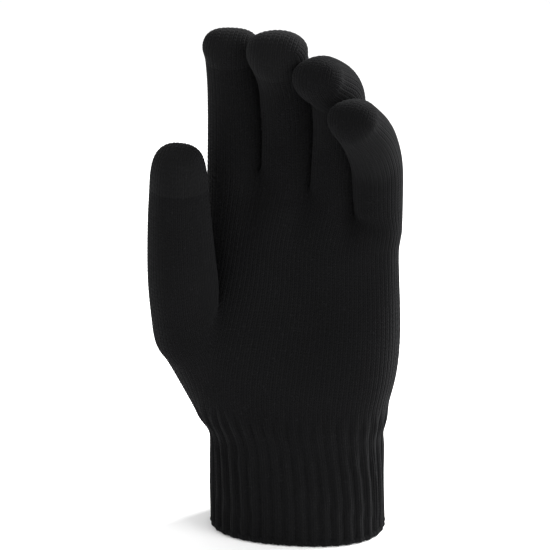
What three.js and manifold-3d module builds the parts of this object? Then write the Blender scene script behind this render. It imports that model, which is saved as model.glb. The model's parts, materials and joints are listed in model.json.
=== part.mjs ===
// A left-hand knitted touchscreen glove, standing on its cuff as if a hand were inside it.
// Millimetres, +Z up towards the fingertips, the palm side faces -Y, the little finger is at +X
// and the thumb at -X. The origin is the centre of the cuff's opening, in the plane of the hem.
//
// A knitted glove bends anywhere. Here it bends where a hand bends it, so each stretch of fabric
// between two knuckles is one thin-walled shell. The upper shell of a joint ends in a rounded lip
// that sits inside the lower shell, and the lower shell is cut back where the upper one swings.
import * as THREE from "three";
import { LoftGeometry } from "three/addons/geometries/LoftGeometry.js";
import { mergeVertices } from "three/addons/utils/BufferGeometryUtils.js";
import Module from "manifold-3d";

// ---- Sizes ----------------------------------------------------------------------------------

const FABRIC = 1.4; // wall of the plain knitted fabric
const RIB_FABRIC = 1.8; // wall of the ribbed cuff, in a groove between two ribs
const JOINT_GAP = 0.5; // clearance between a lip and the shell around it, and at every cut edge
const WIDE_GAP = 0.8; // the same round the palm's and the wrist's wide lips
const SEAM_GAP = 0.3; // between two pieces knitted together that don't move on each other
const TILT_ROOM = 0.2; // more room beside a stretch, for each degree that it tilts sideways
const SOCKET_EASE = 0.35; // how much wider a finger's socket is than the finger, so sockets merge
const LIP_DEPTH = 0.62; // how far a finger's lip reaches below its hinge, as a share of its radius
const WIDE_LIP_DEPTH = 0.78; // the same for the palm's and the wrist's wide lips
const SQUARENESS = 2.6; // exponent of the flattened-oval sections of cuff and palm

const HEM_HEIGHT = 3.2;
const HEM_BULGE = 0.5; // how far the overlocked hem stands out beyond the ribs
const RIB_COUNT = 40;
const RIB_HEIGHT = 0.9;
const WRIST_Z = 47; // height of the wrist hinge
const PALM_FOLD_Z = 142; // height of the hinge across the palm, at the knuckles
const BAND_TOP_Z = 160; // top of the knuckle band at the middle of the hand
const BAND_SLOPE = 0.12; // fall of that top edge towards the little finger

const ELASTIC_COUNT = 3;
const ELASTIC_HEIGHT = 1.2;
const ELASTIC_THICK = 0.6;
const ELASTIC_FIRST_Z = 12;
const ELASTIC_SPACING = 9;

// The hand's flattened sections from the hem to the webs: height, left edge, right edge, half depth.
const SECTIONS = [
  { z: 0, left: -42, right: 42, half: 27 },
  { z: WRIST_Z, left: -42, right: 41.5, half: 26 },
  { z: 62, left: -49.5, right: 44.5, half: 25 },
  { z: 80, left: -52.5, right: 47, half: 23.5 },
  { z: 98, left: -50, right: 48.5, half: 21 },
  { z: 120, left: -45, right: 49.5, half: 17.5 },
  { z: PALM_FOLD_Z, left: -43, right: 50, half: 14.8 },
  { z: 175, left: -42.5, right: 50, half: 12 },
];

// Each finger: how many degrees its bending plane is turned towards the thumb, how far its end
// knuckle bends for each degree of its middle knuckle, and where its base hinge is. Then for its three
// stretches the length, the bend at the lower end in degrees, the sideways tilt in degrees, and
// the radius at the lower end.
const FINGERS = [
  {
    name: "index",
    lean: 0,
    endShare: 0.6,
    base: [-28.1, 0, 167],
    stretches: [
      { length: 28, bend: 4, tilt: 1.4, radius: 11.6 },
      { length: 23, bend: 4, tilt: 1.4, radius: 11.3 },
      { length: 15, bend: 8, tilt: 1.4, radius: 11.1 },
    ],
    tipRadius: 11.1,
    touchTip: 12,
  },
  {
    name: "middle",
    lean: 4,
    endShare: 0.5,
    base: [-4.3, 0, 169],
    stretches: [
      { length: 30, bend: 6, tilt: 3, radius: 10.9 },
      { length: 24, bend: 10, tilt: 3, radius: 10.7 },
      { length: 15, bend: 24, tilt: 2, radius: 10.5 },
    ],
    tipRadius: 10.5,
    touchTip: 12,
  },
  {
    name: "ring",
    lean: 9,
    endShare: 0.35,
    base: [18.3, 0, 167],
    stretches: [
      { length: 30, bend: 8, tilt: 7, radius: 10.4 },
      { length: 24, bend: 14, tilt: 7, radius: 10.3 },
      { length: 17, bend: 44, tilt: -10, radius: 10.2 },
    ],
    tipRadius: 10.2,
    touchTip: 0,
  },
  {
    name: "little",
    lean: 12,
    endShare: 0.45,
    base: [39.8, 0, 158],
    stretches: [
      { length: 28, bend: 18, tilt: 9, radius: 9.9 },
      { length: 22, bend: 26, tilt: 8, radius: 9.8 },
      { length: 16, bend: 12, tilt: -4, radius: 9.6 },
    ],
    tipRadius: 9.6,
    touchTip: 0,
  },
];
const FINGER_BACK = 10; // degrees that a finger's base can bend backwards
const FINGER_FORWARD = 45; // degrees that a finger's base can bend forwards
const KNUCKLE_FORWARD = 88; // degrees that a straight finger's middle knuckle can bend
const SWING_MARGIN = 2; // degrees of clearance past each end of a joint's swing

// The thumb's three hinges and its tip, with the radius at each.
const THUMB = [
  { name: "base", at: [-47.5, -19.5, 98], radius: 18 },
  { name: "proximal", at: [-49, -26, 127], radius: 16.3 },
  { name: "distal", at: [-48.6, -30.5, 160], radius: 14 },
  { name: "tip", at: [-49.6, -33, 178.5], radius: 11.8 },
];
const THUMB_TOUCH_TIP = 13; // distance from the end knuckle to the touch tip's edge
const THUMB_OUT = [-0.96, -0.28, 0]; // the way the thumb's base opens
const THUMB_IN = [0.75, -0.66, 0]; // the way the thumb's knuckles bend, across the palm
const THUMB_ROOT = { at: [-33, -9, 73], radius: 21 }; // lower end of the ball of the thumb
const THUMB_SWING = [
  [-5, 35],
  [-5, 50],
  [-5, 65],
];

const WRIST_SWING = [-35, 45];
const PALM_SWING = [-10, 25];

const SIDES = 16; // facets round a finger
const OVAL_SIDES = 48; // facets round the palm

// ---- Solids ---------------------------------------------------------------------------------

const wasm = await Module();
wasm.setup();

const X = new THREE.Vector3(1, 0, 0);
const Y = new THREE.Vector3(0, 1, 0);
const Z = new THREE.Vector3(0, 0, 1);
const vec = (a) => new THREE.Vector3(a[0], a[1], a[2]);
const radians = THREE.MathUtils.degToRad;

function solid(geometry) {
  const plain = new THREE.BufferGeometry();
  plain.setAttribute("position", geometry.attributes.position);
  plain.setIndex(geometry.index);
  const merged = mergeVertices(plain, 1e-4);
  return new wasm.Manifold(
    new wasm.Mesh({
      numProp: 3,
      vertProperties: new Float32Array(merged.attributes.position.array),
      triVerts: new Uint32Array(merged.index.array),
    }),
  );
}

function geometryOf(manifold) {
  const mesh = manifold.getMesh();
  const geometry = new THREE.BufferGeometry();
  const position = new THREE.BufferAttribute(new Float32Array(mesh.vertProperties), 3);
  geometry.setAttribute("position", position);
  geometry.setIndex(new THREE.BufferAttribute(new Uint32Array(mesh.triVerts), 1));
  geometry.computeVertexNormals();
  return geometry;
}

const join = (solids) => solids.reduce((all, next) => all.add(next));

// The piece itself, without the crumbs that a grazing cut leaves.
function withoutCrumbs(manifold) {
  return manifold.decompose().reduce((most, next) => (next.volume() > most.volume() ? next : most));
}

// A matrix whose Z axis is `up` and whose X axis lies as near to `side` as it can.
function frameAt(origin, up, side) {
  const y = new THREE.Vector3().crossVectors(up, side).normalize();
  const x = new THREE.Vector3().crossVectors(y, up).normalize();
  return new THREE.Matrix4().makeBasis(x, y, up.clone().normalize()).setPosition(origin);
}

// ---- Flattened ovals: hem, cuff, palm and knuckle band --------------------------------------

function sectionAt(z) {
  const above = SECTIONS.findIndex((s) => s.z >= z);
  const b = SECTIONS[Math.max(above, 1)];
  const a = SECTIONS[Math.max(above, 1) - 1];
  const t = (z - a.z) / (b.z - a.z);
  const mix = (key) => THREE.MathUtils.lerp(a[key], b[key], t);
  return { left: mix("left"), right: mix("right"), half: mix("half") };
}

// One closed oval. `inset` moves it inwards, and `bump` adds to it by angle.
function oval(z, inset, sides, bump, slope) {
  const { left, right, half } = sectionAt(z);
  const middle = (left + right) / 2;
  const points = [];
  for (let i = 0; i < sides; i++) {
    const angle = (i / sides) * 2 * Math.PI;
    const reach = (value) => Math.sign(value) * Math.abs(value) ** (2 / SQUARENESS);
    const out = bump ? bump(angle) : 0;
    const x = middle + ((right - left) / 2 - inset + out) * reach(Math.cos(angle));
    const y = (half - inset + out) * reach(Math.sin(angle));
    points.push(new THREE.Vector3(x, y, z - (slope || 0) * (x - middle)));
  }
  return points;
}

function ovalSolid(heights, inset, options = {}) {
  const { sides = OVAL_SIDES, bump, topSlope = 0 } = options;
  const last = heights.length - 1;
  const rings = heights.map((z, i) => oval(z, inset, sides, bump, i === last ? topSlope : 0));
  return solid(new LoftGeometry(rings, { capStart: true, capEnd: true }));
}

// Heights from low to high, with every section level between them.
function levels(low, high) {
  return [low, ...SECTIONS.map((s) => s.z).filter((z) => z > low && z < high), high];
}

// A barrel round the X axis, which can turn about that axis inside an oval shell.
function barrel(z, inset) {
  const { left, right, half } = sectionAt(z);
  const width = (right - left) / 2 - inset;
  const steps = 16;
  const profile = [];
  for (let i = 0; i <= steps; i++) {
    const angle = ((i / steps) * 2 - 1) * (Math.PI / 2);
    const along = width * Math.sign(Math.sin(angle)) * Math.abs(Math.sin(angle)) ** (2 / SQUARENESS);
    const radius = (half - inset) * Math.cos(angle) ** (2 / SQUARENESS);
    profile.push(new THREE.Vector2(i % steps === 0 ? 0 : radius, along));
  }
  const geometry = new THREE.LatheGeometry(profile, 24);
  geometry.rotateZ(-Math.PI / 2);
  geometry.translate((left + right) / 2, 0, z);
  return solid(geometry);
}

function block(size, centre) {
  const geometry = new THREE.BoxGeometry(size[0], size[1], size[2]);
  geometry.translate(centre[0], centre[1], centre[2]);
  return solid(geometry);
}

// ---- What a bending joint needs -------------------------------------------------------------

// The wedge that the upper shell sweeps as it bends through its swing in degrees. In the joint's
// frame X is the hinge and Z points up the upper shell; the palm side is -Y. `drop` lowers it
// for an upper shell whose edge is tilted.
function sweptWedge(frame, radius, halfWidth, swing, far, drop = 0) {
  const low = swing[0] - SWING_MARGIN;
  const high = swing[1] + SWING_MARGIN;
  const start = FABRIC - JOINT_GAP - drop;
  const reach = radius + JOINT_GAP;
  const up = (degrees, d) => [-Math.sin(radians(degrees)) * d, Math.cos(radians(degrees)) * d];
  const palm = (degrees, d) => [-Math.cos(radians(degrees)) * d, -Math.sin(radians(degrees)) * d];
  const sum = (a, b) => new THREE.Vector2(a[0] + b[0], a[1] + b[1]);
  const middle = (low + high) / 2;
  const outline = [
    sum(up(low, start), [0, 0]),
    sum(up(middle, start), [0, 0]),
    sum(up(high, start), [0, 0]),
    sum(up(high, start), palm(high, reach)),
    sum(up(high, far), palm(high, reach)),
    sum(up(middle, far * 1.4), palm(middle, reach)),
    sum(up(low, far), palm(low, -reach * 1.5)),
    sum(up(low, start), palm(low, -reach * 1.5)),
  ];
  const depth = halfWidth * 2;
  const geometry = new THREE.ExtrudeGeometry(new THREE.Shape(outline), {
    depth,
    bevelEnabled: false,
  });
  // The outline's plane becomes YZ and its depth becomes X.
  const turn = new THREE.Matrix4().makeBasis(Y, Z, X);
  geometry.applyMatrix4(turn);
  geometry.translate(-halfWidth, 0, 0);
  geometry.applyMatrix4(frame);
  return solid(geometry);
}

// ---- Round stretches: fingers and thumb -----------------------------------------------------

// A tapered round stretch along Z with a dome at each end.
function capsule(length, lower, upper, frame) {
  const lean = Math.asin((lower - upper) / length);
  const steps = 4;
  const profile = [];
  for (let i = 0; i <= steps; i++) {
    const angle = THREE.MathUtils.lerp(-Math.PI / 2, lean, i / steps);
    profile.push(new THREE.Vector2(i ? lower * Math.cos(angle) : 0, lower * Math.sin(angle)));
  }
  for (let i = 0; i <= steps; i++) {
    const angle = THREE.MathUtils.lerp(lean, Math.PI / 2, i / steps);
    const across = i < steps ? upper * Math.cos(angle) : 0;
    profile.push(new THREE.Vector2(across, length + upper * Math.sin(angle)));
  }
  const geometry = new THREE.LatheGeometry(profile, SIDES);
  geometry.rotateX(Math.PI / 2);
  geometry.applyMatrix4(frame);
  return solid(geometry);
}

function ball(radius, frame) {
  const geometry = new THREE.SphereGeometry(radius, SIDES, 8);
  geometry.rotateX(Math.PI / 2);
  geometry.applyMatrix4(frame);
  return solid(geometry);
}

// Everything below a height in a frame, as a block to cut away.
function below(height, size, frame) {
  const geometry = new THREE.BoxGeometry(size * 2, size * 2, size);
  geometry.translate(0, 0, height - size / 2);
  geometry.applyMatrix4(frame);
  return solid(geometry);
}

// One stretch as a shell whose lower end is a shoulder with a round lip under it.
function stretchShell(length, lower, upper, frame) {
  const size = length + lower + upper + 10;
  const lip = lower - FABRIC - JOINT_GAP;
  const outer = capsule(length, lower, upper, frame)
    .subtract(below(FABRIC, size, frame))
    .add(ball(lip, frame).subtract(below(-LIP_DEPTH * lip, size, frame)));
  const inner = capsule(length, lower - FABRIC, upper - FABRIC, frame)
    .subtract(below(2 * FABRIC, size, frame))
    .add(ball(lip - FABRIC, frame));
  return outer.subtract(inner);
}

// ---- The bent chain of each finger ----------------------------------------------------------

// Each stretch of a finger with its start, its direction as a frame, and its joint's frame.
function fingerChain(finger) {
  const lean = radians(finger.lean);
  const hinge = new THREE.Vector3(Math.cos(lean), -Math.sin(lean), 0);
  const forward = new THREE.Vector3(-Math.sin(lean), -Math.cos(lean), 0);
  let at = vec(finger.base);
  let bend = 0;
  return finger.stretches.map((stretch, i) => {
    bend += radians(stretch.bend);
    const flat = Z.clone().multiplyScalar(Math.cos(bend));
    flat.addScaledVector(forward, Math.sin(bend));
    const tilt = radians(stretch.tilt);
    const direction = flat.clone().multiplyScalar(Math.cos(tilt));
    direction.addScaledVector(hinge, Math.sin(tilt));
    const next = finger.stretches[i + 1];
    const link = {
      start: at.clone(),
      length: stretch.length,
      lower: stretch.radius,
      upper: next ? next.radius : finger.tipRadius,
      frame: frameAt(at, direction, hinge),
      bendFrame: frameAt(at, flat, hinge),
    };
    at = at.clone().addScaledVector(direction, stretch.length);
    return link;
  });
}

// The swing of one of a finger's joints in degrees, from the bend that it has at rest.
function fingerSwing(finger, knuckle) {
  const bend = finger.stretches[1].bend;
  const middle = [-bend, KNUCKLE_FORWARD - bend];
  if (knuckle === 0) return [-FINGER_BACK, FINGER_FORWARD];
  if (knuckle === 1) return middle;
  return middle.map((degrees) => degrees * finger.endShare);
}

// What a stretch sweeps out of the piece below it.
function fingerWedge(finger, link, knuckle) {
  const tilt = Math.abs(finger.stretches[knuckle].tilt);
  const drop = link.lower * Math.tan(radians(tilt));
  const halfWidth = link.lower + JOINT_GAP + TILT_ROOM * tilt;
  const swing = fingerSwing(finger, knuckle);
  return sweptWedge(link.bendFrame, link.lower, halfWidth, swing, link.lower * 3, drop);
}

// ---- The thumb ------------------------------------------------------------------------------

function thumbLinks() {
  return THUMB.slice(0, 3).map((joint, i) => {
    const start = vec(joint.at);
    const end = vec(THUMB[i + 1].at);
    const direction = end.clone().sub(start).normalize();
    const forward = vec(i === 0 ? THUMB_OUT : THUMB_IN);
    const hinge = new THREE.Vector3().crossVectors(Z, forward).normalize();
    const flat = direction.clone().addScaledVector(hinge, -direction.dot(hinge)).normalize();
    return {
      name: joint.name,
      tilt: THREE.MathUtils.radToDeg(Math.asin(Math.abs(direction.dot(hinge)))),
      start,
      hinge,
      length: end.distanceTo(start),
      lower: joint.radius,
      upper: THUMB[i + 1].radius,
      frame: frameAt(start, direction, hinge),
      bendFrame: frameAt(start, flat, hinge),
    };
  });
}

// The room that a round stretch sweeps about its hinge, built from the stretch at several angles.
function sweptStretch(link, swing) {
  const steps = 5;
  const turned = [];
  for (let i = 0; i < steps; i++) {
    const angle = radians(THREE.MathUtils.lerp(swing[0], swing[1], i / (steps - 1)));
    const turn = new THREE.Matrix4()
      .makeTranslation(link.start)
      .multiply(new THREE.Matrix4().makeRotationAxis(link.hinge, angle))
      .multiply(new THREE.Matrix4().makeTranslation(link.start.clone().negate()));
    const frame = turn.multiply(link.frame);
    const grown = capsule(link.length, link.lower + JOINT_GAP, link.upper + JOINT_GAP, frame);
    turned.push(grown.subtract(below(FABRIC - JOINT_GAP, link.length * 3, frame)));
  }
  return join(turned);
}

// ---- Nodes ----------------------------------------------------------------------------------

const BLACK_YARN = { color: 0x1b1b1d, roughness: 0.95 };
const TOUCH_YARN = { color: 0x232325, roughness: 0.8 };
const HEM_YARN = { color: 0x19191b, roughness: 0.95 };
const ELASTIC = { color: 0x141414, roughness: 0.7 };

const glove = new THREE.Group();

function addNode(name, manifold, look) {
  const material = new THREE.MeshStandardMaterial({ ...look, metalness: 0 });
  const mesh = new THREE.Mesh(geometryOf(withoutCrumbs(manifold)), material);
  mesh.name = name;
  glove.add(mesh);
}

const ribs = (angle) => RIB_HEIGHT * (0.5 + 0.5 * Math.cos(RIB_COUNT * angle));
const ribSides = RIB_COUNT * 3;
const wristFrame = frameAt(new THREE.Vector3(0, 0, WRIST_Z), Z, X);
const foldFrame = frameAt(new THREE.Vector3(0, 0, PALM_FOLD_Z), Z, X);
const FULL_WIDTH = 70; // more than half the hand's width

function makeHem() {
  const outer = ovalSolid([0, HEM_HEIGHT], -RIB_HEIGHT - HEM_BULGE);
  const inner = ovalSolid([-1, HEM_HEIGHT + 1], RIB_FABRIC);
  addNode("cuff_hem", outer.subtract(inner), HEM_YARN);
}

function makeCuff() {
  const low = HEM_HEIGHT + SEAM_GAP;
  const high = WRIST_Z + FABRIC;
  const outer = ovalSolid([low, high], 0, { sides: ribSides, bump: ribs });
  const inner = ovalSolid([low - 1, high + 1], RIB_FABRIC);
  const depth = sectionAt(WRIST_Z).half + RIB_HEIGHT;
  const wedge = sweptWedge(wristFrame, depth, FULL_WIDTH, WRIST_SWING, 60);
  addNode("cuff", outer.subtract(inner).subtract(wedge), BLACK_YARN);
}

function makeElastics() {
  for (let i = 0; i < ELASTIC_COUNT; i++) {
    const z = ELASTIC_FIRST_Z + i * ELASTIC_SPACING;
    const inset = RIB_FABRIC + SEAM_GAP;
    const outer = ovalSolid([z, z + ELASTIC_HEIGHT], inset);
    const inner = ovalSolid([z - 1, z + ELASTIC_HEIGHT + 1], inset + ELASTIC_THICK);
    addNode(`elastic_thread_${i + 1}`, outer.subtract(inner), ELASTIC);
  }
}

// An oval shell whose lower end is a shoulder over a barrel-shaped lip.
function ovalShell(hinge, low, parts) {
  const lip = RIB_FABRIC + WIDE_GAP;
  const radius = sectionAt(hinge).half - lip;
  const cut = block([300, 300, 200], [0, 0, hinge - WIDE_LIP_DEPTH * radius - 100]);
  const outer = join(parts.outer).add(barrel(hinge, lip).subtract(cut));
  const inner = join(parts.inner).add(barrel(hinge, lip + FABRIC));
  return outer.subtract(inner);
}

const thumb = thumbLinks();
const chains = FINGERS.map(fingerChain);

function makePalm() {
  const low = WRIST_Z + FABRIC;
  const high = PALM_FOLD_Z + FABRIC;
  const root = vec(THUMB_ROOT.at);
  const towards = thumb[0].start.clone().sub(root);
  const frame = frameAt(root, towards.clone().normalize(), X);
  const mound = (less) =>
    capsule(towards.length(), THUMB_ROOT.radius - less, thumb[0].lower - less, frame);
  const shell = ovalShell(WRIST_Z, low, {
    outer: [ovalSolid(levels(low, high), 0), mound(0)],
    inner: [ovalSolid(levels(low + FABRIC, high + 1), FABRIC), mound(FABRIC)],
  });
  const depth = sectionAt(PALM_FOLD_Z).half;
  const fold = sweptWedge(foldFrame, depth, FULL_WIDTH, PALM_SWING, 40);
  const opening = sweptStretch(thumb[0], THUMB_SWING[0]);
  addNode("palm", shell.subtract(fold).subtract(opening), BLACK_YARN);
}

// The band across the knuckles, with a socket for each finger.
function makeKnuckleBand() {
  const low = PALM_FOLD_Z + FABRIC;
  const socket = (finger, less) => {
    const radius = finger.stretches[0].radius + SOCKET_EASE - less;
    const foot = vec([finger.base[0], 0, PALM_FOLD_Z + 3 * FABRIC + radius]);
    const towards = vec(finger.base).sub(foot);
    const length = Math.max(towards.length(), 1);
    return capsule(length, radius, radius, frameAt(foot, Z, X));
  };
  const top = { topSlope: BAND_SLOPE };
  const shell = ovalShell(PALM_FOLD_Z, low, {
    outer: [ovalSolid([low, BAND_TOP_Z], 0, top), ...FINGERS.map((f) => socket(f, 0))],
    inner: [
      ovalSolid([low + FABRIC, BAND_TOP_Z - FABRIC], FABRIC, top),
      ...FINGERS.map((f) => socket(f, FABRIC)),
    ],
  });
  const wedges = FINGERS.map((f, i) => fingerWedge(f, chains[i][0], 0));
  addNode("knuckle_band", shell.subtract(join(wedges)), BLACK_YARN);
}

// Splits an end stretch at the edge of its touch tip, leaving the seam's gap.
function splitTip(shell, frame, edge, name) {
  const size = 60;
  addNode(`${name}_touch_tip`, shell.subtract(below(edge + SEAM_GAP / 2, size, frame)), TOUCH_YARN);
  return shell.intersect(below(edge - SEAM_GAP / 2, size, frame));
}

const STRETCH_NAMES = ["proximal", "middle", "distal"];

function makeFinger(finger, chain) {
  chain.forEach((link, i) => {
    let shell = stretchShell(link.length, link.lower, link.upper, link.frame);
    const next = chain[i + 1];
    if (next) {
      shell = shell.subtract(fingerWedge(finger, next, i + 1));
    }
    if (!next && finger.touchTip) {
      shell = splitTip(shell, link.frame, finger.touchTip, finger.name);
    }
    addNode(`${finger.name}_${STRETCH_NAMES[i]}`, shell, BLACK_YARN);
  });
}

function makeThumb() {
  thumb.forEach((link, i) => {
    let shell = stretchShell(link.length, link.lower, link.upper, link.frame);
    const next = thumb[i + 1];
    if (next) {
      const width = next.lower + JOINT_GAP + TILT_ROOM * next.tilt;
      const drop = next.lower * Math.tan(radians(next.tilt));
      const swing = THUMB_SWING[i + 1];
      const wedge = sweptWedge(next.bendFrame, next.lower, width, swing, width * 3, drop);
      shell = shell.subtract(wedge);
    } else {
      shell = splitTip(shell, link.frame, THUMB_TOUCH_TIP, "thumb");
    }
    addNode(`thumb_${link.name}`, shell, BLACK_YARN);
  });
}

makeHem();
makeCuff();
makeElastics();
makePalm();
makeKnuckleBand();
FINGERS.forEach((finger, i) => makeFinger(finger, chains[i]));
makeThumb();

export default glove;
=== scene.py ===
"""A black knitted touchscreen glove, left hand, standing on its cuff: the looks for the CAD frame.

The glove is one smooth knitted skin. It starts as a coarse cage of four-sided faces whose columns
follow the wales of the knit up the palm and into each finger, is subdivided, gets its ribs and
stitches as relief, and is cut into one piece for each joint.
Lengths are in millimetres until a mesh is made, and the frame is in metres.
"""
import json
import math

import bpy
import numpy as np
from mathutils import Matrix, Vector


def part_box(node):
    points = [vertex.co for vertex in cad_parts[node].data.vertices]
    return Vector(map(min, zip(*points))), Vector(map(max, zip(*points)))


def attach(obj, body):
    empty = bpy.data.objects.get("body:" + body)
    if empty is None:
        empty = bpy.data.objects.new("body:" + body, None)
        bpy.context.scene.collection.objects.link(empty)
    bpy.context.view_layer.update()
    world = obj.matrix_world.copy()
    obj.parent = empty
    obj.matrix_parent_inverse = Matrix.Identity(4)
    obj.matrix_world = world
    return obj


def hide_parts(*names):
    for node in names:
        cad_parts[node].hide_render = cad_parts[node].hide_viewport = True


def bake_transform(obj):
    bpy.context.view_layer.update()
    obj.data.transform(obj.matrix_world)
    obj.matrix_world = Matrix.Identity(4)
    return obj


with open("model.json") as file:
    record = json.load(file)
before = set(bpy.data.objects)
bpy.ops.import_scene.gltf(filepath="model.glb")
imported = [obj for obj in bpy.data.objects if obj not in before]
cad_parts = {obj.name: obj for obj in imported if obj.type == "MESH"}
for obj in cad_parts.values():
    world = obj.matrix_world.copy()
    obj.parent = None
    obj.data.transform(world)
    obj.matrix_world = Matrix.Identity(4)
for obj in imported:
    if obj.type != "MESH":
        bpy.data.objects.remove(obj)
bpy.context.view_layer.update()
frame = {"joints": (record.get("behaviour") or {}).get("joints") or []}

MM = 0.001

# ---- Driving sizes --------------------------------------------------------------------------

SQUARENESS = 2.6        # exponent of the palm's flattened-oval sections
CUFF_SQUARENESS = 2.35  # and of the rounder cuff
FABRIC = 1.4            # thickness of the knitted fabric
CUFF_TURN = 7.0         # degrees that the cuff's hem is turned against the palm
RIBS = 40               # ribs round the cuff
RIB_RELIEF = 1.3        # height of a rib over its groove
WALE_RELIEF = 0.22      # height of one column of stitches
RIB_END = 66.0          # height where the ribs run out
RIB_FADE = 12.0
WAIST = 49.0            # height of the stretched band where the ribs lie flatter
WALES_PER_COLUMN = 3.0  # stitches across one cage column
COURSE = 1.5            # height of one stitch
CAGE_EASE = 1.045       # a subdivided ring of twelve shrinks by about this much
SUBDIVISIONS = 4        # of the outer skin
LINING_SUBDIVISIONS = 2  # and of the plainer inside

# Flattened sections: height, left edge, right edge, half depth.
SECTIONS = np.array([
    (0.0, -41.3, 41.8, 29.4),
    (47.0, -41.8, 40.8, 26.5),
    (62.0, -50.0, 43.5, 25.0),
    (72.0, -52.5, 46.5, 24.3),
    (80.0, -53.0, 48.6, 23.5),
    (98.0, -51.5, 50.2, 21.0),
    (120.0, -47.5, 49.4, 17.5),
    (142.0, -46.0, 48.6, 14.8),
    (175.0, -45.5, 48.6, 12.0),
])

CUFF_ROWS = [2.0, 8, 15, 22, 30, 38, 47, 56, 66]
PALM_ROWS = [75.5, 86, 102, 118, 130, 141]
THUMB_ROW = len(CUFF_ROWS) + 1   # the thumb's opening starts at this row
THUMB_ROWS = 2                   # and is two rows high and four columns wide
THUMB_COLUMNS = (35, 0, 1, 2, 3)
COLUMNS = 36                     # 16 in front, 2 at each side, 16 behind
WEBS = [163.0, 176, 169, 158, 151]   # heights of the edges and webs from index to little finger

# For each finger: its radius, and how far the stall stands aside from the hinge line, at its base,
# its two knuckles and near its tip; then the last stretch's length, bend and sideways tilt in
# degrees.
FINGERS = {
    "index": dict(radii=(13.7, 13.1, 12.5, 12.3), aside=(-2.3, -2.3, -2.4, -2.8),
                  end=(15.0, 8, 1.4)),
    "middle": dict(radii=(12.6, 12.3, 12.3, 13.1), aside=(-0.4, -0.8, -1.4, -1.9),
                   end=(14.4, 24, 2)),
    "ring": dict(radii=(11.9, 11.9, 12.4, 11.3), aside=(-0.6, -0.5, -0.1, 0.3),
                 end=(16.2, 44, -10)),
    "little": dict(radii=(11.4, 11.8, 12.1, 10.8), aside=(-1.5, -2.5, -3.0, -2.4),
                   end=(16.0, 12, -4)),
}
THUMB_ROOT = (-33.0, -8.0, 62.0)   # lower end of the ball of the thumb
THUMB_TIP = (-47.7, -33.0, 178.0)
THUMB_RADII = (18.2, 16.5, 14.5, 13.0)
TOUCH_EDGE = {"index": 12.0, "middle": 12.0, "thumb": 13.0}   # past the last knuckle
NO_TOUCH_TIP = 999.0       # an edge beyond any fingertip

# Where the skin is cut into pieces and the zone round each joint: heights, and distances along two
# directions.
CUFF_TOP, PALM_TOP = 67, 126
WRIST_BEND = (27, 67)
BAND_BEND = (128, 148)
THUMB_ROOT_BEND = (120.5 / 0.995, 132.0 / 0.995)
THUMB_ROOT_CUT = 132.3 / 0.995
THUMB_KNUCKLE_BEND = (136.0, 152.0)

# The thumb's rings: how far along it each lies, and how far its web side is tilted up.
THUMB_RINGS = ((18, 10.0), (26, 6.5), (34, 3.0), (41, 1.0), (49, 0), (57, 0), (66, 0), (75, 0))

# How far the ball of the thumb stands out of the palm, at these heights.
THUMB_SWELL = ((50, 58, 66, 72, 80, 93, 106, 119, 135), (0, 2, 4, 5, 6, 7, 5, 2, 0))

CAMERA_AZIMUTH = 16.0
CAMERA_HEIGHT_ANGLE = 16.0
CAMERA_DISTANCE = 0.95
CAMERA_SHIFT = (-0.0109, 0.0057)   # right and up from the middle of the glove, in metres
LENS = 131.2


# ---- Skeleton from the frame ----------------------------------------------------------------

JOINTS = {j["name"]: j for j in frame["joints"]}


def joint_at(name):
    """A hinge's place in millimetres."""
    return np.array(JOINTS[name]["pos_m"], float) * 1000


def joint_axis(name):
    axis = np.array(JOINTS[name]["axis"], float)
    return axis / np.linalg.norm(axis)


def unit(v):
    return v / np.linalg.norm(v)


def turned(v, axis, degrees):
    """v turned about a unit axis."""
    a = math.radians(degrees)
    along = axis * (axis @ v)
    return along + (v - along) * math.cos(a) + np.cross(axis, v) * math.sin(a)


def finger_line(name):
    """A finger's hinges and the centre of its tip, with its hinge axis."""
    base, knuckle, end = (joint_at(f"{name}_{k}") for k in ("base", "knuckle", "end"))
    axis = joint_axis(f"{name}_base")
    length, bend, tilt = FINGERS[name]["end"]
    last = unit(end - knuckle)
    flat = unit(last - axis * (axis @ last))
    flat = turned(flat, axis, bend)
    tip_way = flat * math.cos(math.radians(tilt)) + axis * math.sin(math.radians(tilt))
    points = (base, knuckle, end, end + tip_way * length)
    return [p + axis * aside for p, aside in zip(points, FINGERS[name]["aside"])], axis


def thumb_line():
    """The thumb's hinges and the centre of its tip."""
    return [joint_at(f"thumb_{k}") for k in ("base", "knuckle", "end")] + [np.array(THUMB_TIP)]


class Line:
    """A bent line through points, rounded at its bends, with a radius at each point."""

    def __init__(self, points, radii, rounding=7.0):
        self.stops = np.concatenate([[0], np.cumsum([
            np.linalg.norm(b - a) for a, b in zip(points, points[1:])
        ])])
        self.points = np.array(points)
        self.radii = radii
        self.rounding = rounding

    def raw(self, s):
        i = int(np.clip(np.searchsorted(self.stops, s) - 1, 0, len(self.points) - 2))
        way = (self.points[i + 1] - self.points[i]) / (self.stops[i + 1] - self.stops[i])
        return self.points[i] + way * (s - self.stops[i])

    def at(self, s):
        """The rounded line: the mean of the bent line over a short stretch."""
        spread = np.linspace(-self.rounding, self.rounding, 9)
        return np.mean([self.raw(s + d) for d in spread], axis=0)

    def way(self, s):
        return unit(self.at(s + 1.0) - self.at(s - 1.0))

    def radius(self, s):
        return float(np.interp(s, self.stops, self.radii))


# ---- The cage -------------------------------------------------------------------------------

def section_at(z):
    return [float(np.interp(z, SECTIONS[:, 0], SECTIONS[:, i])) for i in (1, 2, 3)]


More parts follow.
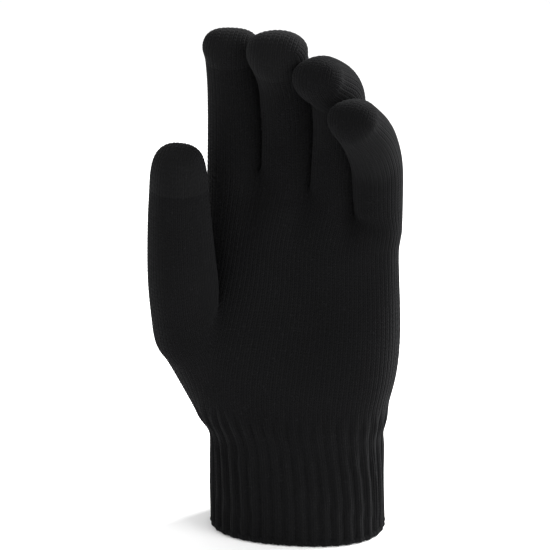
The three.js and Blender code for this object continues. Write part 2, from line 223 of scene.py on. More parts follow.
def oval(z, count=COLUMNS):
    """Evenly spaced points round a flattened section. The last one is at the thumb side."""
    left, right, half = section_at(z)
    angle = np.radians(np.linspace(180, 540, 1441))
    squareness = CUFF_SQUARENESS + (SQUARENESS - CUFF_SQUARENESS) * smooth_step(30, 75, z)
    reach = lambda v: np.sign(v) * np.abs(v) ** (2 / squareness)
    x = (left + right) / 2 + (right - left) / 2 * reach(np.cos(angle))
    y = half * reach(np.sin(angle))
    turn = math.radians(CUFF_TURN) * (1 - smooth_step(15, 70, z))
    middle = (left + right) / 2
    x, y = (middle + (x - middle) * math.cos(turn) - y * math.sin(turn),
            (x - middle) * math.sin(turn) + y * math.cos(turn))
    run = np.concatenate([[0], np.cumsum(np.hypot(np.diff(x), np.diff(y)))])
    wanted = (np.arange(1, count + 1) / count * run[-1]) % run[-1]
    x, y = np.interp(wanted, run, x), np.interp(wanted, run, y)
    return np.column_stack([x, y, np.full(count, z)])


def palm_front(x, z):
    """Where the palm's surface is at this side distance and height; far behind beyond its edge."""
    left, right, half = section_at(z)
    u = abs((x - (left + right) / 2) / ((right - left) / 2))
    return 99.0 if u >= 1 or z > 150 else -half * (1 - u ** SQUARENESS) ** (1 / SQUARENESS)


def hand_form(p):
    """Swells and hollows: the ball of the thumb, the heel of the hand, the hollow palm."""
    x, y, z = p
    if z < 50:
        return p
    side = smooth_step(12, 46, -x) * smooth_step(-22, 12, -y + 4)
    reach = float(np.interp(z, THUMB_SWELL[0], THUMB_SWELL[1])) * side
    x, y = x - 0.82 * reach, y - 0.57 * reach
    if y > 0:
        return np.array([x, y, z])
    front = min(1.0, -y / 8)
    swell = lambda cx, cz, wx, wz: math.exp(-((x - cx) / wx) ** 2 - ((z - cz) / wz) ** 2)
    lift = 9.0 * swell(-36, 91, 22, 25) + 2.5 * swell(34, 88, 16, 30)
    lift += 1.5 * swell(30, 148, 26, 10) + 1.2 * swell(-16, 152, 22, 9)
    lift -= 3.6 * swell(2, 118, 20, 24)
    return np.array([x, y - lift * front, z])


class Cage:
    """A mesh of four-sided faces with stitch coordinates and a region for each face."""

    def __init__(self):
        self.points, self.faces, self.stitches, self.regions = [], [], [], []

    def add(self, p):
        self.points.append(np.asarray(p, float))
        return len(self.points) - 1

    def quad(self, corners, stitches, region):
        self.faces.append(corners)
        self.stitches.append(stitches)
        self.regions.append(region)

    def tube(self, rings, columns, heights, region):
        """Faces between rings of the same count. columns gives each side's two stitch columns."""
        for (low, high), (v0, v1) in zip(zip(rings, rings[1:]), zip(heights, heights[1:])):
            for k, (u0, u1) in enumerate(columns):
                j = (k + 1) % len(low)
                corners = (low[k], low[j], high[j], high[k])
                self.quad(corners, ((u0, v0), (u1, v0), (u1, v1), (u0, v1)), region)

    def cap(self, ring, middle, columns, top, region):
        """Closes a ring of twelve with a flat seam of three inner points."""
        front = [ring[k] for k in (0, 1, 2, 3, 4)]
        seam = [ring[11], *middle, ring[5]]
        back = [ring[k] for k in (10, 9, 8, 7, 6)]
        u = columns[0][0]
        for k in range(4):
            s = ((u + k, top), (u + k + 1, top), (u + k + 1, top + 4), (u + k, top + 4))
            self.quad((front[k], front[k + 1], seam[k + 1], seam[k]), s, region)
            self.quad((back[k + 1], back[k], seam[k], seam[k + 1]), s, region)


def finger_columns(f):
    """The stitch columns of a finger's twelve sides: front, far side, back, near side."""
    front = [(4 * f + k, 4 * f + k + 1) for k in range(4)]
    far = [(4 * f + 4 + k, 4 * f + 5 + k) for k in range(2)]
    back = [(30 - 4 * f + k, 31 - 4 * f + k) for k in range(4)]
    near = [(34 - 4 * f + k, 35 - 4 * f + k) for k in range(2)]
    return front + far + back + near


def finger_ring(centre, way, side, width, depth):
    """Twelve points round a finger, from its front near corner."""
    side = unit(side - way * (side @ way))
    palm = np.cross(side, way)
    turns = np.radians(-150 + 30 * np.arange(12))
    return [centre + side * width * math.cos(t) - palm * depth * math.sin(t) for t in turns]


def thumb_circle(z, degrees):
    """A point on the ball of the thumb at this height, in this direction from its middle."""
    stops = np.array([THUMB_ROOT, joint_at("thumb_base"), joint_at("thumb_knuckle")])
    centre = np.array([np.interp(z, stops[:, 2], stops[:, i]) for i in (0, 1)] + [z])
    a = math.radians(degrees)
    return centre + THUMB_RADII[0] * np.array([math.cos(a), math.sin(a), 0])


def round_the_thumb(cage, rows):
    """Draws the palm's cage out round the ball of the thumb, below and beside its opening."""
    def draw(point, degrees, share):
        p = cage.points[point]
        cage.points[point] = p + (thumb_circle(p[2], degrees) - p) * share

    for r in range(THUMB_ROW - 2, THUMB_ROW + 1):
        share = smooth_step(50, 84, cage.points[rows[r][0]][2])
        for i, c in enumerate(THUMB_COLUMNS):
            draw(rows[r][c], 180 + 30 * i, share)
    draw(rows[THUMB_ROW + 1][THUMB_COLUMNS[0]], 150, 0.6)
    draw(rows[THUMB_ROW + 1][THUMB_COLUMNS[-1]], 330, 0.9)


def web_ring(lines):
    """The ring where the palm turns into fingers, and the three points inside the webs."""
    loops = []
    for f, (name, line) in enumerate(lines.items()):
        foot = line.at(0.0)
        radius = line.radii[0] * CAGE_EASE
        points = np.array(finger_ring(foot, np.array([0, 0, 1.0]), np.array([1.0, 0, 0]),
                                      radius, radius))
        near, far = WEBS[f], WEBS[f + 1]
        spread = (points[:, 0] - points[0, 0]) / (points[4, 0] - points[0, 0])
        points[:, 2] = near + (far - near) * np.clip(spread, 0, 1)
        loops.append(points)
    ring = np.zeros((COLUMNS, 3))
    count = np.zeros(COLUMNS)
    for f, points in enumerate(loops):
        for k in range(5):
            ring[4 * f + k] += points[k]
            count[4 * f + k] += 1
            ring[34 - 4 * f - k] += points[10 - k]
            count[34 - 4 * f - k] += 1
    ring[17], count[17] = loops[3][5], 1
    ring[35], count[35] = loops[0][11], 1
    ring /= count[:, None]
    webs = [(a[5] + b[11]) / 2 + np.array([0, 0, 1.0]) for a, b in zip(loops, loops[1:])]
    return ring, webs


def build_cage():
    cage = Cage()
    lines = {n: Line(finger_line(n)[0], FINGERS[n]["radii"]) for n in FINGERS}
    ring, webs = web_ring(lines)

    rows, heights = [], []
    for z in CUFF_ROWS + PALM_ROWS:
        rows.append([cage.add(hand_form(p)) for p in oval(z)])
        heights.append(z / COURSE)
    last = oval(PALM_ROWS[-1])
    for share in (0.4, 0.75):
        rows.append([cage.add(hand_form(a + (b - a) * share)) for a, b in zip(last, ring)])
        heights.append((PALM_ROWS[-1] + 26 * share) / COURSE)
    rows.append([cage.add(p) for p in ring])
    heights.append((PALM_ROWS[-1] + 26) / COURSE)
    crotch = [cage.add(p) for p in webs]

    round_the_thumb(cage, rows)
    hole = {(c, THUMB_ROW + r) for c in THUMB_COLUMNS[:-1] for r in range(THUMB_ROWS)}
    for r in range(len(rows) - 1):
        for c in range(COLUMNS):
            if (c, r) in hole:
                continue
            n = (c + 1) % COLUMNS
            corners = (rows[r][c], rows[r][n], rows[r + 1][n], rows[r + 1][c])
            v0, v1 = heights[r], heights[r + 1]
            cage.quad(corners, ((c, v0), (c + 1, v0), (c + 1, v1), (c, v1)), 0)

    for f, (name, line) in enumerate(lines.items()):
        add_finger(cage, f, name, line, rows[-1], crotch, heights[-1])
    add_thumb(cage, rows)
    soften(cage, thumb_circle(101, 330), 34.0)
    return cage, lines


def soften(cage, centre, reach):
    """Evens out the cage round a place, so that two forms run into each other."""
    beside = [set() for _ in cage.points]
    for face in cage.faces:
        for a, b in zip(face, face[1:] + face[:1]):
            beside[a].add(b)
            beside[b].add(a)
    for _ in range(4):
        means = [np.mean([cage.points[k] for k in sorted(near) or [i]], axis=0)
                 for i, near in enumerate(beside)]
        for i, p in enumerate(cage.points):
            share = max(0.0, 1 - np.linalg.norm(p - centre) / reach)
            cage.points[i] = p + (means[i] - p) * 0.6 * share


def add_finger(cage, f, name, line, ring, crotch, foot_height):
    """Rings from the webs to the tip, and the flat seam that closes the tip."""
    side = joint_axis(f"{name}_base")
    foot = [ring[4 * f + k] for k in range(5)]
    foot.append(crotch[f] if f < 3 else ring[17])
    foot += [ring[30 - 4 * f + k] for k in range(5)]
    foot.append(crotch[f - 1] if f else ring[35])
    web = max(WEBS[f], WEBS[f + 1]) - line.points[0][2]
    start = web + 5.0
    end = line.stops[-1]
    count = int(round((end - start) / 6.5))
    rings, heights = [foot], [foot_height]
    for s in np.linspace(start, end, count + 1):
        radius = line.radius(s) * CAGE_EASE
        points = finger_ring(line.at(s), line.way(s), side, radius, radius)
        rings.append([cage.add(p) for p in points])
        heights.append(foot_height + (s - start + 9) / COURSE)
    tip = line.radii[3]
    way = unit(line.points[3] - line.points[2])
    for reach, width, depth in ((0.25, 1.14, 0.94), (0.74, 0.96, 0.66)):
        centre = line.points[3] + way * tip * reach
        points = finger_ring(centre, way, side, tip * width * CAGE_EASE, tip * depth * CAGE_EASE)
        rings.append([cage.add(p) for p in points])
        heights.append(heights[-1] + tip * 0.5 / COURSE)
    columns = finger_columns(f)
    cage.tube(rings, columns, heights, f + 1)
    across = unit(side - way * (side @ way))
    top = line.points[3] + way * tip * 1.04
    middle = [cage.add(top + across * tip * d) for d in (-0.5, 0, 0.5)]
    cage.cap(rings[-1], middle, columns, heights[-1], f + 1)


def add_thumb(cage, rows):
    """The thumb, from a square opening in the side of the palm."""
    line = Line(thumb_line(), THUMB_RADII, rounding=9.0)
    low, high = THUMB_ROW, THUMB_ROW + THUMB_ROWS
    c = THUMB_COLUMNS  # from the edge of the hand round to the palm
    loop = [rows[low][k] for k in c[:-1]]
    loop += [rows[low + r][c[-1]] for r in range(THUMB_ROWS)]
    loop += [rows[high][k] for k in c[:0:-1]]
    loop += [rows[high - r][c[0]] for r in range(THUMB_ROWS)]
    turns = np.radians(180 + 30 * np.arange(12))

    def ring_at(s, scale=1.0, tilt=0.0):
        centre, way = line.at(s), line.way(s)
        x = unit(np.array([1.0, 0, 0]) - way * way[0])
        y = np.cross(way, x)
        radius = line.radius(s) * CAGE_EASE * scale
        out = []
        for t in turns:
            web = math.cos(t - math.radians(60))
            p = centre + x * radius * math.cos(t) + y * radius * math.sin(t) + way * tilt * web
            p[1] = min(p[1], palm_front(p[0], p[2]) - 1.2)
            out.append(p)
        return out

    base = np.array([cage.points[i] for i in loop])
    first = np.array(ring_at(10.0, tilt=14.0))
    rings, heights = [loop], [0.0]
    rings.append([cage.add(p) for p in base + (first - base) * 0.5])
    rings.append([cage.add(p) for p in first])
    heights += [6.0, 12.0]
    for s, tilt in THUMB_RINGS:
        rings.append([cage.add(p) for p in ring_at(s, tilt=tilt)])
        heights.append(heights[-1] + 8 / COURSE)
    tip = line.radii[3]
    way = unit(line.points[3] - line.points[2])
    end = line.stops[-1]
    for reach, scale in ((0.35, 1.0), (0.95, 0.8)):
        rings.append([cage.add(p) for p in ring_at(end + tip * reach, scale=scale)])
        heights.append(heights[-1] + 4)
    # The seam runs across the thumb, so the ring is taken from the pad's near corner.
    rings = [r[1:] + r[:1] for r in rings]
    columns = [(k * 1.4, (k + 1) * 1.4) for k in range(12)]
    cage.tube(rings, columns, heights, 5)
    top = line.points[3] + way * tip * 1.34
    across = unit(cage.points[rings[-1][5]] - cage.points[rings[-1][11]])
    middle = [cage.add(top + across * tip * d) for d in (-0.35, 0, 0.35)]
    cage.cap(rings[-1], middle, columns, heights[-1], 5)


# ---- The fine skin --------------------------------------------------------------------------

class Skin:
    """Fine mesh as arrays: points in millimetres, four-sided faces, stitches, regions, normals."""

    def __init__(self, points, faces, stitches, regions):
        self.points, self.faces = points, faces
        self.stitches, self.regions = stitches, regions
        self.normals = self.point_normals()

    def point_normals(self):
        p = self.points[self.faces]
        face = np.cross(p[:, 2] - p[:, 0], p[:, 3] - p[:, 1])
        out = np.zeros_like(self.points)
        for k in range(4):
            np.add.at(out, self.faces[:, k], face)
        return out / np.maximum(np.linalg.norm(out, axis=1, keepdims=True), 1e-12)


def subdivide(cage, levels):
    mesh = bpy.data.meshes.new("cage")
    mesh.from_pydata([tuple(p) for p in cage.points], [], [list(f) for f in cage.faces])
    uv = mesh.uv_layers.new(name="stitches")
    flat = [c for face in cage.stitches for corner in face for c in corner]
    uv.data.foreach_set("uv", flat)
    region = mesh.attributes.new("region", "INT", "FACE")
    region.data.foreach_set("value", cage.regions)
    cage_object = bpy.data.objects.new("cage", mesh)
    bpy.context.scene.collection.objects.link(cage_object)
    modifier = cage_object.modifiers.new("smooth", "SUBSURF")
    modifier.levels = levels
    modifier.render_levels = levels
    modifier.boundary_smooth = "ALL"
    modifier.uv_smooth = "PRESERVE_BOUNDARIES"
    graph = bpy.context.evaluated_depsgraph_get()
    fine = cage_object.evaluated_get(graph).to_mesh()
    points = np.zeros(len(fine.vertices) * 3)
    fine.vertices.foreach_get("co", points)
    faces = np.zeros(len(fine.loops), int)
    fine.loops.foreach_get("vertex_index", faces)
    stitches = np.zeros(len(fine.loops) * 2)
    fine.uv_layers["stitches"].data.foreach_get("uv", stitches)
    regions = np.zeros(len(fine.polygons), int)
    fine.attributes["region"].data.foreach_get("value", regions)
    bpy.data.objects.remove(cage_object)
    bpy.data.meshes.remove(mesh)
    return Skin(points.reshape(-1, 3), faces.reshape(-1, 4), stitches.reshape(-1, 4, 2), regions)


def smooth_step(low, high, x):
    t = np.clip((x - low) / (high - low), 0, 1)
    return t * t * (3 - 2 * t)


def around(skin):
    """How far round the cuff each point is, from 0 to 1, by its place on the oval."""
    share = np.zeros(len(skin.points))
    share[skin.faces.ravel()] = (skin.stitches[:, :, 0] / COLUMNS).ravel()
    return share


def rib_relief(skin):
    """The cuff's ribs: full below, flatter at the stretched waist, running out into the palm."""
    z = skin.points[:, 2]
    turn = around(skin) * 2 * math.pi
    drift = 0.35 * np.sin(z * 0.17 + 3 * turn) + 0.22 * np.sin(z * 0.41 + 7 * turn)
    wave = np.cos(turn * RIBS + drift * smooth_step(3, 12, z))
    profile = (0.5 + 0.5 * wave) ** 0.8
    strength = 1 - smooth_step(RIB_END - RIB_FADE, RIB_END + 2, z)
    strength *= 1 - 0.5 * np.exp(-((z - WAIST) / 5.0) ** 2)
    palm = np.ones(len(z))
    palm[np.unique(skin.faces[skin.regions > 0])] = 0
    uneven = 1 + 0.18 * np.sin(5 * turn + z * 0.05) * np.sin(z * 0.09 + 2 * turn)
    return RIB_RELIEF * profile * strength * uneven * palm


def wale_relief(skin):
    """Each column of stitches stands up a little, and no two stitches by the same amount."""
    stitch = np.zeros((len(skin.points), 2))
    stitch[skin.faces.ravel()] = skin.stitches.reshape(-1, 2)
    wale = np.cos(stitch[:, 0] * WALES_PER_COLUMN * 2 * math.pi)
    slant = 2.2 * np.cos(stitch[:, 0] * WALES_PER_COLUMN * math.pi)
    course = np.cos(stitch[:, 1] * 2 * math.pi + slant)
    return WALE_RELIEF * (0.5 * wale + 0.35 * course)


def knit(skin):
    relief = rib_relief(skin) + wale_relief(skin)
    skin.points = skin.points + skin.normals * relief[:, None]
    skin.normals = skin.point_normals()
    return skin


def lining(cage):
    """The inside of the fabric, facing in."""
    inner = subdivide(cage, LINING_SUBDIVISIONS)
    inner.points = inner.points - inner.normals * FABRIC
    inner.faces = inner.faces[:, ::-1].copy()
    inner.stitches = inner.stitches[:, ::-1].copy()
    inner.normals = inner.point_normals()
    return inner


# ---- Cutting the skin into pieces -----------------------------------------------------------

def face_centres(skin):
    return skin.points[skin.faces].mean(axis=1)


def finger_marks(name, line):
    """Where a finger's pieces meet and the zone round each of its joints, as points on its line."""
    base, knuckle, end = line.points[:3]
    first, second, third = (unit(b - a) for a, b in zip(line.points, line.points[1:]))
    f = list(FINGERS).index(name)
    web = max(WEBS[f], WEBS[f + 1]) - base[2]
    reach = line.radii[1] * 0.9
    return dict(
        ways=(first, second, third),
        base=(base + first * web, knuckle - first * (reach + 1.5)),
        cut1=knuckle - first * (reach + 0.8),
        knuckle=(knuckle - first * reach, knuckle + second * reach),
        cut2=end - second * 8.5,
        end=(end - second * 7.5, end + third * 8.0),
        touch=end + third * TOUCH_EDGE.get(name, NO_TOUCH_TIP),
    )


def thumb_marks():
    """The thumb's planes: each is a direction and a distance along it."""
    base, knuckle, end, tip = thumb_line()
    middle, last = unit(end - knuckle), unit(tip - end)
    root = unit(np.array([-0.3, -0.3, 0.9]))
    bend = unit(np.array([-0.15, -0.2, 0.97]))
    at = lambda way, point, distance: point + way * (distance - way @ point)
    return dict(
        root=tuple(at(root, base, distance) for distance in THUMB_ROOT_BEND),
        root_way=root, root_cut=THUMB_ROOT_CUT,
        knuckle=tuple(at(bend, knuckle, distance) for distance in THUMB_KNUCKLE_BEND),
        end=(end - middle * 10, end + last * 9.5),
        end_way=middle, end_cut=middle @ end - 10.8,
        touch=end + last * TOUCH_EDGE["thumb"], touch_way=last,
    )


def assign_pieces(skin, lines):
    """The name of the piece that each face belongs to."""
    centre = face_centres(skin)
    names = np.empty(len(centre), dtype=object)
    z = centre[:, 2]
    body = skin.regions == 0
    names[body & (z < CUFF_TOP)] = "cuff"
    names[body & (z >= CUFF_TOP) & (z < PALM_TOP)] = "palm"
    names[body & (z >= PALM_TOP)] = "knuckle_band"
    for f, (name, line) in enumerate(lines.items()):
        marks = finger_marks(name, line)
        mine = skin.regions == f + 1
        past = lambda point, way: (centre - point) @ way > 0
        names[mine] = f"{name}_proximal"
        names[mine & past(marks["cut1"], marks["ways"][0])] = f"{name}_middle"
        second = mine & past(marks["cut2"], marks["ways"][1])
        second &= past(marks["cut1"], marks["ways"][0])
        names[second] = f"{name}_distal"
        names[second & past(marks["touch"], marks["ways"][2])] = f"{name}_touch_tip"
    marks = thumb_marks()
    mine = skin.regions == 5
    names[mine] = "thumb_base"
    names[mine & (centre @ marks["root_way"] > marks["root_cut"])] = "thumb_proximal"
    last = mine & (centre @ marks["end_way"] > marks["end_cut"])
    names[last] = "thumb_distal"
    names[last & ((centre - marks["touch"]) @ marks["touch_way"] > 0)] = "thumb_touch_tip"
    return names


def make_piece(name, parts, materials):
    """One object from the faces called name in each (skin, names, material number) part."""
    points, faces, stitches, normals, slots = [], [], [], [], []
    offset = 0
    for skin, names, number in parts:
        chosen = skin.faces[names == name]
        used, fresh = np.unique(chosen, return_inverse=True)
        points.append(skin.points[used])
        normals.append(skin.normals[used])
        faces.append(fresh.reshape(-1, 4) + offset)
        stitches.append(skin.stitches[names == name])
        slots.append(np.full(len(chosen), number))
        offset += len(used)
    points, faces = np.concatenate(points), np.concatenate(faces)
    mesh = bpy.data.meshes.new(name)
    mesh.from_pydata((points * MM).tolist(), [], faces.tolist())
    uv = mesh.uv_layers.new(name="stitches")
    uv.data.foreach_set("uv", np.concatenate(stitches).ravel())
    for material in materials:
        mesh.materials.append(material)
    mesh.polygons.foreach_set("material_index", np.concatenate(slots))
    mesh.shade_smooth()
    mesh.normals_split_custom_set_from_vertices(np.concatenate(normals).tolist())
    piece = bpy.data.objects.new(name + "_knit", mesh)
    bpy.context.scene.collection.objects.link(piece)
    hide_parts(name)
    return piece


# ---- Materials ------------------------------------------------------------------------------

def math_node(tree, operation, a, b=None):
    """A math node whose inputs are sockets or numbers."""
    node = tree.nodes.new("ShaderNodeMath")
    node.operation = operation
    for socket, value in zip(node.inputs, (a, b)):
        if value is None:
            continue
        if isinstance(value, (int, float)):
            socket.default_value = value
        else:
            tree.links.new(value, socket)
    return node.outputs[0]


def stitch_group():
    """Knit stitches from the stitch coordinates: a height, and a mask of the gaps between yarns for
    painted shade.
    """
    tree = bpy.data.node_groups.new("Knit stitches", "ShaderNodeTree")
    make = tree.interface.new_socket
    make("Wales", in_out="INPUT", socket_type="NodeSocketFloat").default_value = WALES_PER_COLUMN
    make("Slant", in_out="INPUT", socket_type="NodeSocketFloat").default_value = 1.1
    make("Height", in_out="OUTPUT", socket_type="NodeSocketFloat")
    make("Gap", in_out="OUTPUT", socket_type="NodeSocketFloat")
    source = tree.nodes.new("NodeGroupInput")
    result = tree.nodes.new("NodeGroupOutput")
    uv = tree.nodes.new("ShaderNodeUVMap")
    uv.uv_map = "stitches"
    parts = tree.nodes.new("ShaderNodeSeparateXYZ")
    tree.links.new(uv.outputs[0], parts.inputs[0])
    wales = math_node(tree, "MULTIPLY", parts.outputs[0], source.outputs[0])
    wale = math_node(tree, "FRACT", wales)
    off = math_node(tree, "ABSOLUTE", math_node(tree, "SUBTRACT", wale, 0.5))
    # Each stitch is a V: two legs that rise from the middle of the wale to its edges.
    climb = math_node(tree, "MULTIPLY", off, source.outputs[1])
    course = math_node(tree, "SUBTRACT", parts.outputs[1], climb)
    strand = math_node(tree, "SINE", math_node(tree, "MULTIPLY", course, 2 * math.pi))
    strand = math_node(tree, "MULTIPLY_ADD", strand, 0.5)
    strand.node.inputs[2].default_value = 0.5
    leg = math_node(tree, "SUBTRACT", math_node(tree, "MULTIPLY", off, 4.0), 1.0)
    leg = math_node(tree, "SUBTRACT", 1.0, math_node(tree, "MULTIPLY", leg, leg))
    height = math_node(tree, "MULTIPLY", leg, math_node(tree, "MULTIPLY_ADD", strand, 0.6))
    tree.links.new(height, result.inputs["Height"])
    # Painted shade: this mask of the gaps between the yarns darkens the colour there.
    gap_shade = math_node(tree, "SUBTRACT", 1.0, leg)
    gap_shade = math_node(tree, "MULTIPLY", gap_shade, gap_shade)
    tree.links.new(gap_shade, result.inputs["Gap"])
    return tree


def mix_colour(tree, factor, a, b):
    node = tree.nodes.new("ShaderNodeMix")
    node.data_type = "RGBA"
    for index, value in ((0, factor), (6, a), (7, b)):
        if isinstance(value, (int, float, tuple)):
            node.inputs[index].default_value = value
        else:
            tree.links.new(value, node.inputs[index])
    return node.outputs[2]


# Each yarn's darkest and lightest colour, sheen, roughness and depth of stitches.
YARNS = {
    "black yarn": ((0.0026, 0.0026, 0.0028), (0.0044, 0.0044, 0.0047), 0.02, 0.95, 0.5),
    "inside of the knit": ((0.004, 0.004, 0.0043), (0.006, 0.006, 0.0064), 0.02, 0.95, 0.35),
    "touch yarn": ((0.0032, 0.0032, 0.0034), (0.0054, 0.0054, 0.0057), 0.025, 0.85, 0.5),
    "overlock thread": ((0.0028, 0.0028, 0.003), (0.0048, 0.0048, 0.0051), 0.02, 0.9, 0.5),
    "covered elastic": ((0.012, 0.012, 0.0125), (0.02, 0.02, 0.021), 0.04, 0.8, 0.5),
}
FUZZ = 0.35   # height of the loose fibres against the stitches


def yarn(name, dark, light, sheen, roughness, relief, stitches):
    """Matt knitted yarn: stitches and loose fibres as relief, and a worn, uneven black with painted
    shade in the gaps between the yarns.
    """
    material = bpy.data.materials.new(name)
    material.use_nodes = True
    tree = material.node_tree
    shader = tree.nodes["Principled BSDF"]
    group = tree.nodes.new("ShaderNodeGroup")
    group.node_tree = stitches
    place = tree.nodes.new("ShaderNodeTexCoord").outputs["Object"]

    def noise(scale, detail):
        node = tree.nodes.new("ShaderNodeTexNoise")
        node.inputs["Scale"].default_value = scale
        node.inputs["Detail"].default_value = detail
        tree.links.new(place, node.inputs["Vector"])
        return node.outputs["Fac"]

    patches = noise(45.0, 3.0)
    fibres = noise(2600.0, 4.0)
    lint = noise(700.0, 2.0)
    tone = mix_colour(tree, patches, (*dark, 1), (*light, 1))
    # Painted shade: the gaps between the yarns are darkened towards about a third of the darkest
    # colour.
    tone = mix_colour(tree, math_node(tree, "MULTIPLY", group.outputs["Gap"], 0.55), tone,
                      (dark[0] * 0.35, dark[1] * 0.35, dark[2] * 0.35, 1))
    pale = math_node(tree, "MULTIPLY", math_node(tree, "GREATER_THAN", lint, 0.66), 0.25)
    tone = mix_colour(tree, pale, tone, (light[0] * 2.2, light[1] * 2.2, light[2] * 2.2, 1))
    tree.links.new(tone, shader.inputs["Base Color"])
    shader.inputs["Roughness"].default_value = roughness
    shader.inputs["Specular IOR Level"].default_value = 0.06
    shader.inputs["Sheen Weight"].default_value = sheen
    shader.inputs["Sheen Roughness"].default_value = 0.45
    shader.inputs["Sheen Tint"].default_value = (0.75, 0.76, 0.8, 1)
    height = math_node(tree, "MULTIPLY_ADD", fibres, FUZZ)
    tree.links.new(group.outputs["Height"], height.node.inputs[2])
    bump = tree.nodes.new("ShaderNodeBump")
    bump.inputs["Strength"].default_value = relief
    bump.inputs["Distance"].default_value = 0.0007
    tree.links.new(height, bump.inputs["Height"])
    tree.links.new(bump.outputs[0], shader.inputs["Normal"])
    return material


# ---- Small pieces ---------------------------------------------------------------------------

def sweep(name, path, outline, material):
    """A closed ring whose outline(i), a list of (out, up), is carried round the path."""
    count, sides = len(path), len(outline(0))
    ahead = np.roll(path, -1, axis=0) - np.roll(path, 1, axis=0)
    out = np.column_stack([ahead[:, 1], -ahead[:, 0], np.zeros(count)])
    out /= np.linalg.norm(out, axis=1, keepdims=True)
    up = np.array([0, 0, 1.0])
    points = [path[i] + out[i] * o + up * u for i in range(count) for o, u in outline(i)]
    faces = []
    for i in range(count):
        n = (i + 1) % count
        for k in range(sides):
            m = (k + 1) % sides
            faces.append((i * sides + k, n * sides + k, n * sides + m, i * sides + m))
    mesh = bpy.data.meshes.new(name)
    mesh.from_pydata((np.array(points) * MM).tolist(), [], faces)
    uv = mesh.uv_layers.new(name="stitches")
    for loop in mesh.loops:
        i, k = divmod(loop.vertex_index, sides)
        uv.data[loop.index].uv = (i / 6.0, k * 0.7)
    mesh.materials.append(material)
    mesh.shade_smooth()
    piece = bpy.data.objects.new(name, mesh)
    bpy.context.scene.collection.objects.link(piece)
    return piece


def make_hem(material):
    """The overlocked edge: a soft roll that follows the ribs, wrapped by slanted thread."""
    count = RIBS * 18
    path = oval(1.7, count)
    turn = np.arange(count) / count * 2 * math.pi

    def outline(i):
        ring = []
        for k in range(14):
            a = k / 14 * 2 * math.pi
            wrap = 0.16 * math.cos(turn[i] * RIBS * 3 + a * 1.0)
            rib = 0.32 * math.cos(turn[i] * RIBS)
            ring.append(((1.35 + wrap) * math.cos(a) - 0.35 + rib, (1.6 + wrap) * math.sin(a)))
        return ring

    piece = sweep("cuff_hem_overlock", path, outline, material)
    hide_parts("cuff_hem")
    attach(piece, "cuff")
    return piece


def make_elastics(material):
    """Covered rubber threads that run round inside the cuff, slightly wavy."""
    for number in (1, 2, 3):
        node = f"elastic_thread_{number}"
        low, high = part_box(node)
        z = (low.z + high.z) / 2 / MM
        count = 240
        path = oval(z, count)
        centre = path.mean(axis=0)
        half = np.array([(high.x - low.x) / 2 / MM, (high.y - low.y) / 2 / MM])
        reach = np.abs(path - centre).max(axis=0)[:2]
        path[:, :2] = centre[:2] + (path[:, :2] - centre[:2]) * ((half - 0.35) / reach)
        path[:, 2] += 0.25 * np.cos(np.arange(count) / count * 2 * math.pi * RIBS / 2)
        ring = [(0.32 * math.cos(k / 8 * 2 * math.pi), 0.32 * math.sin(k / 8 * 2 * math.pi))
                for k in range(8)]
        piece = sweep(node + "_covered", path, lambda i: ring, material)
        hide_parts(node)
        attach(piece, "cuff")


# ---- Floor, light, camera -------------------------------------------------------------------

MIDDLE = (0, 0, 0.12)   # of the glove, in metres
LIGHTS = (              # name, place, size, power
    ("rim, upper right and behind", (0.55, 0.5, 0.75), 0.5, 22.0),
    ("soft right", (0.9, -0.3, 0.55), 0.6, 7.0),
    ("soft front", (-0.5, -1.2, 0.7), 1.2, 5.0),
)


def aim(thing, target):
    thing.rotation_euler = (Vector(target) - thing.location).to_track_quat("-Z", "Y").to_euler()


def add_light(name, place, size, power):
    data = bpy.data.lights.new(name, "AREA")
    data.size = size
    data.energy = power
    lamp = bpy.data.objects.new(name, data)
    bpy.context.scene.collection.objects.link(lamp)
    lamp.location = place
    aim(lamp, MIDDLE)
    return lamp


def make_stage():
    mesh = bpy.data.meshes.new("floor")
    size = 6.0
    mesh.from_pydata([(-size, -size, 0), (size, -size, 0), (size, size, 0), (-size, size, 0)], [],
                     [(0, 1, 2, 3)])
    floor = bpy.data.objects.new("floor", mesh)
    bpy.context.scene.collection.objects.link(floor)
    floor.location.z = -0.0002
    white = bpy.data.materials.new("white floor")
    white.use_nodes = True
    shader = white.node_tree.nodes["Principled BSDF"]
    shader.inputs["Base Color"].default_value = (0.93, 0.93, 0.93, 1)
    shader.inputs["Roughness"].default_value = 0.9
    mesh.materials.append(white)
    world = bpy.data.worlds.new("white")
    world.use_nodes = True
    world.node_tree.nodes["Background"].inputs["Color"].default_value = (1, 1, 1, 1)
    world.node_tree.nodes["Background"].inputs["Strength"].default_value = 1.0
    bpy.context.scene.world = world
    [add_light(*light) for light in LIGHTS]
    bpy.context.scene.view_settings.view_transform = "Standard"


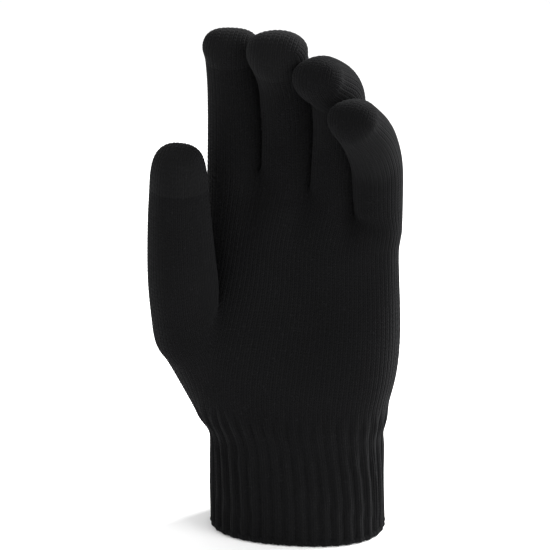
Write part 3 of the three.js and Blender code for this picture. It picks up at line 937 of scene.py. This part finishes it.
def make_camera():
    a, e = math.radians(CAMERA_AZIMUTH), math.radians(CAMERA_HEIGHT_ANGLE)
    back = Vector((math.sin(a) * math.cos(e), -math.cos(a) * math.cos(e), math.sin(e)))
    right = Vector((math.cos(a), math.sin(a), 0))
    up = back.cross(right)
    target = Vector(MIDDLE) + right * CAMERA_SHIFT[0] + up * CAMERA_SHIFT[1]
    data = bpy.data.cameras.new("camera")
    data.lens = LENS
    data.sensor_width = 36
    camera = bpy.data.objects.new("camera", data)
    bpy.context.scene.collection.objects.link(camera)
    camera.location = target + back * CAMERA_DISTANCE
    aim(camera, target)
    bpy.context.scene.camera = camera


# ---- Putting the glove together -------------------------------------------------------------


def bend(piece, lower, upper, zone):
    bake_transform(piece)


def make_glove():
    stitches = stitch_group()
    black, inside, touch, hem, rubber = (
        yarn(name, *look, stitches) for name, look in YARNS.items()
    )

    cage, lines = build_cage()
    outer = knit(subdivide(cage, SUBDIVISIONS))
    inner = lining(cage)
    outer_names, inner_names = assign_pieces(outer, lines), assign_pieces(inner, lines)
    parts = [(outer, outer_names, 0), (inner, inner_names, 1)]

    def piece(name):
        face = touch if name.endswith("touch_tip") else black
        made = make_piece(name, parts, (face, inside))
        return made

    cuff = piece("cuff")
    bend(cuff, "cuff", "palm", [(0, 0, z) for z in WRIST_BEND])
    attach(piece("palm"), "palm")
    bend(piece("knuckle_band"), "palm", "knuckles", [(0, 0, z) for z in BAND_BEND])
    for name, line in lines.items():
        marks = finger_marks(name, line)
        bend(piece(f"{name}_proximal"), "knuckles", f"{name}_proximal", marks["base"])
        bend(piece(f"{name}_middle"), f"{name}_proximal", f"{name}_middle", marks["knuckle"])
        bend(piece(f"{name}_distal"), f"{name}_middle", f"{name}_distal", marks["end"])
        if name in TOUCH_EDGE:
            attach(piece(f"{name}_touch_tip"), f"{name}_distal")
    marks = thumb_marks()
    bend(piece("thumb_base"), "palm", "thumb_base", marks["root"])
    bend(piece("thumb_proximal"), "thumb_base", "thumb_proximal", marks["knuckle"])
    bend(piece("thumb_distal"), "thumb_proximal", "thumb_distal", marks["end"])
    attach(piece("thumb_touch_tip"), "thumb_distal")
    make_hem(hem)
    make_elastics(rubber)


make_glove()
make_stage()
make_camera()
